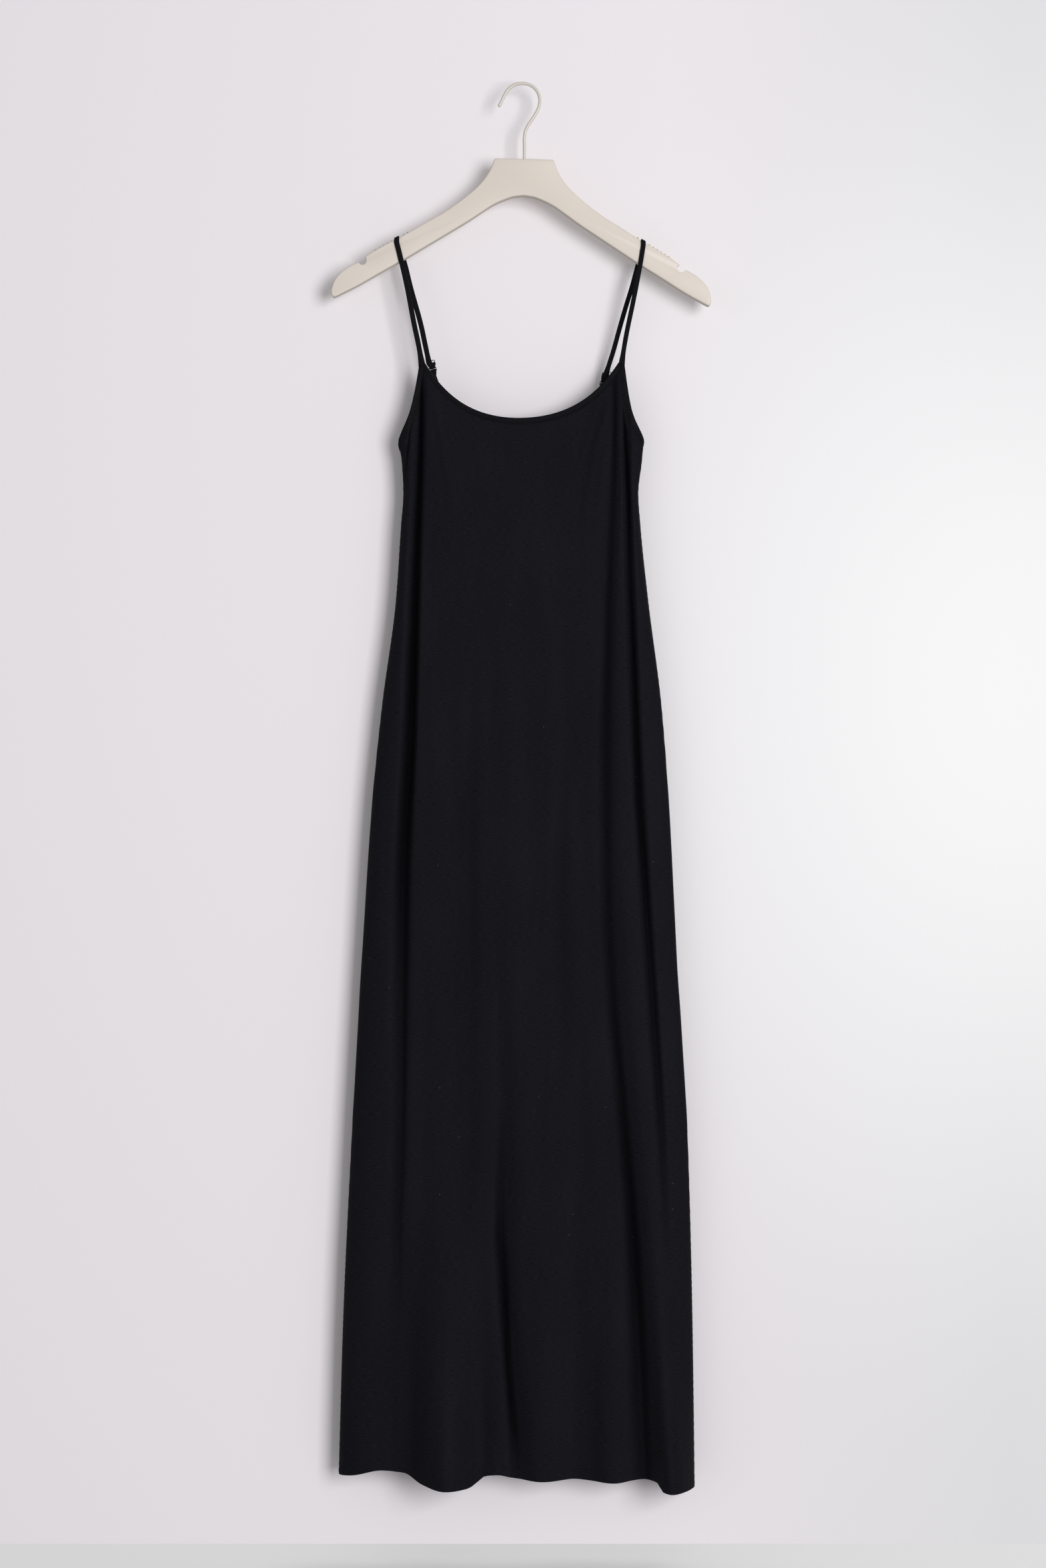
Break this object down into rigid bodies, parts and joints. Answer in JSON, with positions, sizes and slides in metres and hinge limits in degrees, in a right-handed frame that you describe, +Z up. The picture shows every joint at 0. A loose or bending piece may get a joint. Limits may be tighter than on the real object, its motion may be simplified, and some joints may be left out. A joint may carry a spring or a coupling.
{
  "type": "slip dress on a coat hanger",
  "caption": "Long black jersey slip dress with thin adjustable straps, hanging flat on a cream coat hanger with a wire hook.",
  "frame": {"origin": "The underside of the hook's crown, where the rail carries the hanger.", "axes": "+X to the right as seen from the front, -Y the front, +Z up."},
  "size_m": [0.4183, 0.0701, 1.5467],
  "materials": {
    "jersey": "fine black jersey with a faint sheen",
    "binding": "folded black jersey binding and straps",
    "black_plastic": "glossy black slides and rings",
    "cream_paint": "smooth satin cream",
    "cream_wire": "satin painted wire",
    "grip_rubber": "soft matte ribs"
  },
  "bodies": {
    "root": {"front_panel": "jersey", "back_panel": "jersey", "neck_binding_front": "binding", "neck_binding_back": "binding", "armhole_binding_left": "binding", "armhole_binding_right": "binding", "strap_left": "binding", "strap_right": "binding", "tab_left": "binding", "tab_right": "binding", "slider_left": "black_plastic", "slider_right": "black_plastic", "ring_left": "black_plastic", "ring_right": "black_plastic", "hanger_body": "cream_paint", "hanger_hook": "cream_wire", "grip_left": "grip_rubber", "grip_right": "grip_rubber"}
  },
  "joints": []
}
